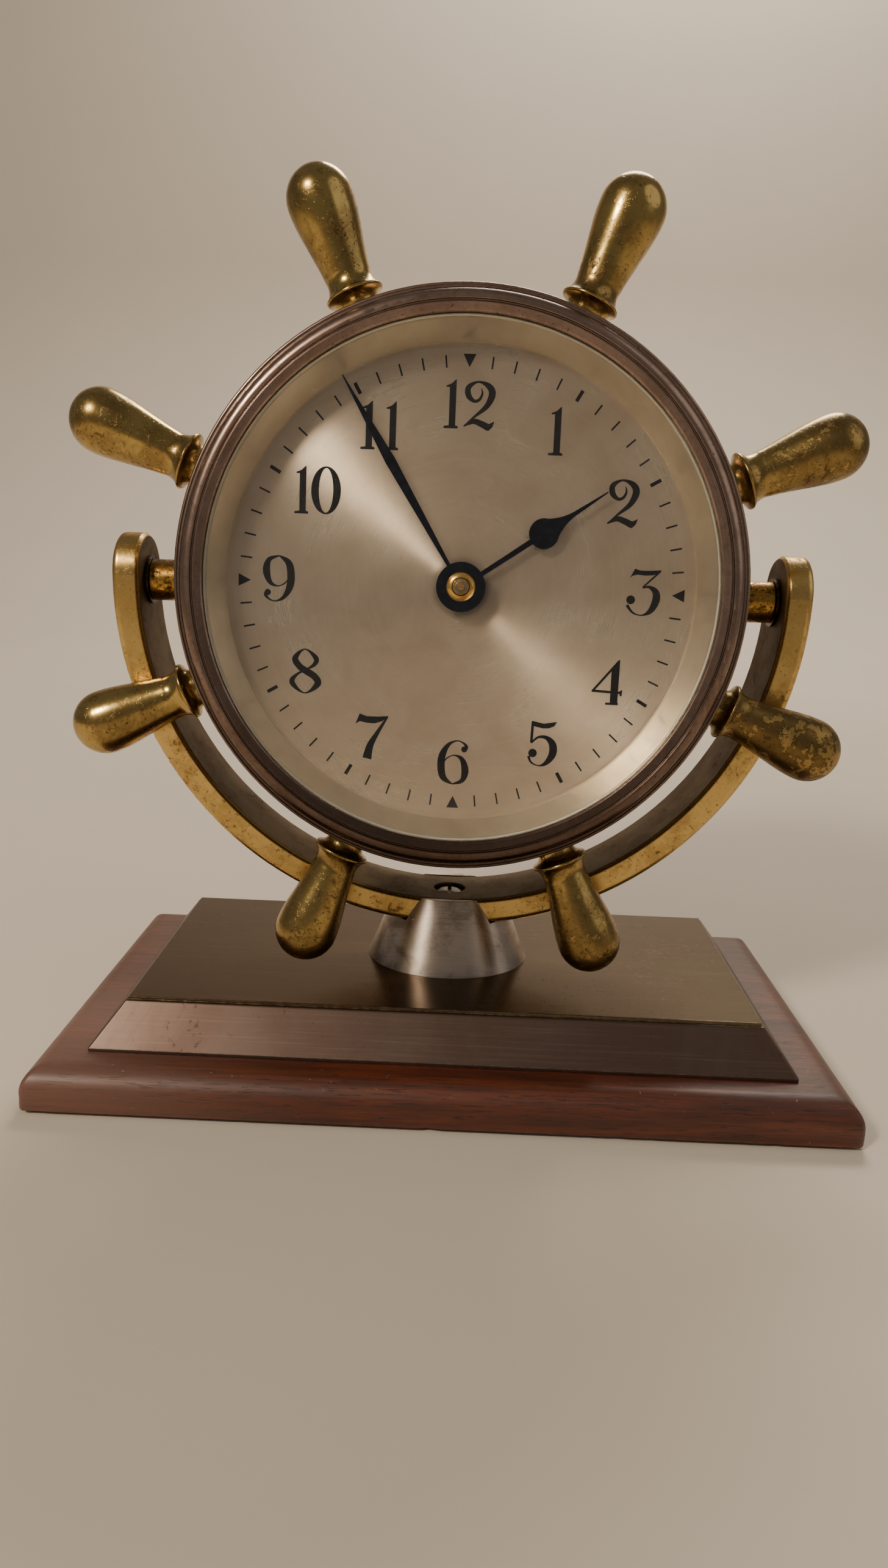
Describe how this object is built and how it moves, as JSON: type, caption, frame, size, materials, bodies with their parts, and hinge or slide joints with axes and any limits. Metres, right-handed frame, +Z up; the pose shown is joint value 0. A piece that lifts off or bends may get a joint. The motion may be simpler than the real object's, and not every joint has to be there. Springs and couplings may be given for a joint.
{
  "type": "ship's deck clock",
  "caption": "Ship's wheel deck clock: round spoked clock head tilting in a brass yoke on a conical pedestal, metal deck plate and wooden plinth.",
  "frame": {"origin": "centre of the underside of the felt, where the clock stands", "axes": "+Z up, -Y out of the front of the dial, +X to the viewer's right"},
  "size_m": [0.202, 0.112, 0.2211],
  "materials": {
    "felt": "worn felt",
    "mahogany": "satin varnish, worn edges",
    "bronze_plate": "dark brown bronze, semi-gloss",
    "steel_pedestal": "polished, lightly pitted",
    "screw_steel": "bright",
    "yoke_brass": "aged, tarnished",
    "spoke_brass": "polished, spotted tarnish",
    "case_bronze": "dark red-brown bronze",
    "glass": "clear",
    "ring_brass": "polished",
    "silver_ring": "silvered matt",
    "silvered_dial": "circular brushed silvering",
    "dial_ink": "black enamel",
    "blued_steel": "black",
    "movement_brass": "lacquered",
    "spring_steel": "polished"
  },
  "bodies": {
    "base": {"felt_pad": "felt", "wood_base": "mahogany", "base_plate": "bronze_plate", "plate_screws": "screw_steel", "pedestal": "steel_pedestal", "pedestal_bolt": "screw_steel", "pedestal_washer": "screw_steel", "yoke": "yoke_brass", "yoke_screw": "screw_steel", "friction_washers": "yoke_brass"},
    "head": {"pivot_screws": "yoke_brass", "trunnions": "yoke_brass", "case_drum": "case_bronze", "bezel": "case_bronze", "glass": "glass", "glass_ring": "ring_brass", "reflector_ring": "silver_ring", "dial_plate": "silvered_dial", "dial_marks": "dial_ink", "back_cover": "case_bronze", "cover_screws": "screw_steel", "front_plate": "movement_brass", "back_plate": "movement_brass", "pillars": "movement_brass", "pillar_screws": "screw_steel", "movement_screws": "screw_steel", "balance_cock": "movement_brass", "click_spring": "screw_steel", "spoke_1": "spoke_brass", "spoke_2": "spoke_brass", "spoke_3": "spoke_brass", "spoke_4": "spoke_brass", "spoke_5": "spoke_brass", "spoke_6": "spoke_brass", "spoke_7": "spoke_brass", "spoke_8": "spoke_brass"},
    "minute_hand_set": {"cannon_pinion": "movement_brass", "minute_hand": "blued_steel", "hand_nut": "ring_brass"},
    "hour_hand_set": {"hour_wheel": "movement_brass", "hour_hand": "blued_steel"},
    "minute_wheel_set": {"minute_wheel": "movement_brass"},
    "setting_knob": {"set_arbor": "screw_steel", "set_knob": "ring_brass"},
    "winding_arbor": {"barrel_arbor": "screw_steel", "ratchet_wheel": "screw_steel", "winding_key": "ring_brass"},
    "click_arm": {"click": "screw_steel"},
    "spring_barrel": {"barrel": "movement_brass", "mainspring": "spring_steel"},
    "centre_arbor": {"centre_wheel": "movement_brass"},
    "third_arbor": {"third_wheel": "movement_brass"},
    "fourth_arbor": {"fourth_wheel": "movement_brass"},
    "escape_arbor": {"escape_wheel": "movement_brass"},
    "lever_arm": {"pallet_lever": "spring_steel"},
    "balance": {"balance_wheel": "movement_brass", "hairspring": "spring_steel"}
  },
  "joints": [
    {"name": "head_tilt", "type": "hinge", "parent": "base", "child": "head", "pos_m": [0, 0, 0.1245], "axis": [1, 0, 0], "range_deg": [-90, 5]},
    {"name": "minute_hand_turn", "type": "hinge", "parent": "head", "child": "minute_hand_set", "pos_m": [0, -0.02192, 0.12642], "axis": [0, 0.9962, -0.0872], "continuous": true},
    {"name": "hour_hand_turn", "type": "hinge", "parent": "head", "child": "hour_hand_set", "pos_m": [0, -0.01992, 0.12624], "axis": [0, 0.9962, -0.0872], "continuous": true},
    {"name": "minute_wheel_turn", "type": "hinge", "parent": "head", "child": "minute_wheel_set", "pos_m": [0.00369, -0.01682, 0.11578], "axis": [0, 0.9962, -0.0872], "continuous": true},
    {"name": "setting_turn", "type": "hinge", "parent": "head", "child": "setting_knob", "pos_m": [0.00909, 0.01822, 0.10333], "axis": [0, 0.9962, -0.0872], "continuous": true},
    {"name": "winding_turn", "type": "hinge", "parent": "head", "child": "winding_arbor", "pos_m": [-0.01697, 0.01844, 0.10585], "axis": [0, 0.9962, -0.0872], "range_deg": [0, 2880]},
    {"name": "click_lift", "type": "hinge", "parent": "head", "child": "click_arm", "pos_m": [-0.01949, 0.01172, 0.12077], "axis": [0, -0.9962, 0.0872], "range_deg": [0, 10], "stiffness_Nm_per_rad": 0.002, "springref_deg": -17.19},
    {"name": "fourth_turn", "type": "hinge", "parent": "head", "child": "fourth_arbor", "pos_m": [0.02004, 0.00009, 0.14847], "axis": [0, 0.9962, -0.0872], "continuous": true},
    {"name": "third_turn", "type": "hinge", "parent": "head", "child": "third_arbor", "pos_m": [0.01691, -0.00544, 0.13116], "axis": [0, 0.9962, -0.0872], "continuous": true},
    {"name": "centre_turn", "type": "hinge", "parent": "head", "child": "centre_arbor", "pos_m": [0, -0.00996, 0.12537], "axis": [0, 0.9962, -0.0872], "continuous": true},
    {"name": "barrel_turn", "type": "hinge", "parent": "head", "child": "spring_barrel", "pos_m": [-0.01697, -0.00148, 0.10759], "axis": [0, 0.9962, -0.0872], "continuous": true},
    {"name": "escape_turn", "type": "hinge", "parent": "head", "child": "escape_arbor", "pos_m": [0.0033, 0.00234, 0.15123], "axis": [0, 0.9962, -0.0872], "continuous": true},
    {"name": "lever_swing", "type": "hinge", "parent": "head", "child": "lever_arm", "pos_m": [-0.00616, 0.00248, 0.15289], "axis": [0, 0.9962, -0.0872], "range_deg": [-4, 4]},
    {"name": "balance_swing", "type": "hinge", "parent": "head", "child": "balance", "pos_m": [-0.01837, 0.00267, 0.15504], "axis": [0, 0.9962, -0.0872], "range_deg": [-120, 120], "stiffness_Nm_per_rad": 0.00005}
  ],
  "couplings": [
    {"joint": "hour_hand_turn", "follows": "minute_hand_turn", "ratio": 0.083333},
    {"joint": "minute_wheel_turn", "follows": "minute_hand_turn", "ratio": -0.33333},
    {"joint": "setting_turn", "follows": "minute_hand_turn", "ratio": 1},
    {"joint": "third_turn", "follows": "fourth_turn", "ratio": -0.125},
    {"joint": "centre_turn", "follows": "fourth_turn", "ratio": 0.015625},
    {"joint": "barrel_turn", "follows": "fourth_turn", "ratio": -0.0022321},
    {"joint": "escape_turn", "follows": "fourth_turn", "ratio": -7.5}
  ]
}
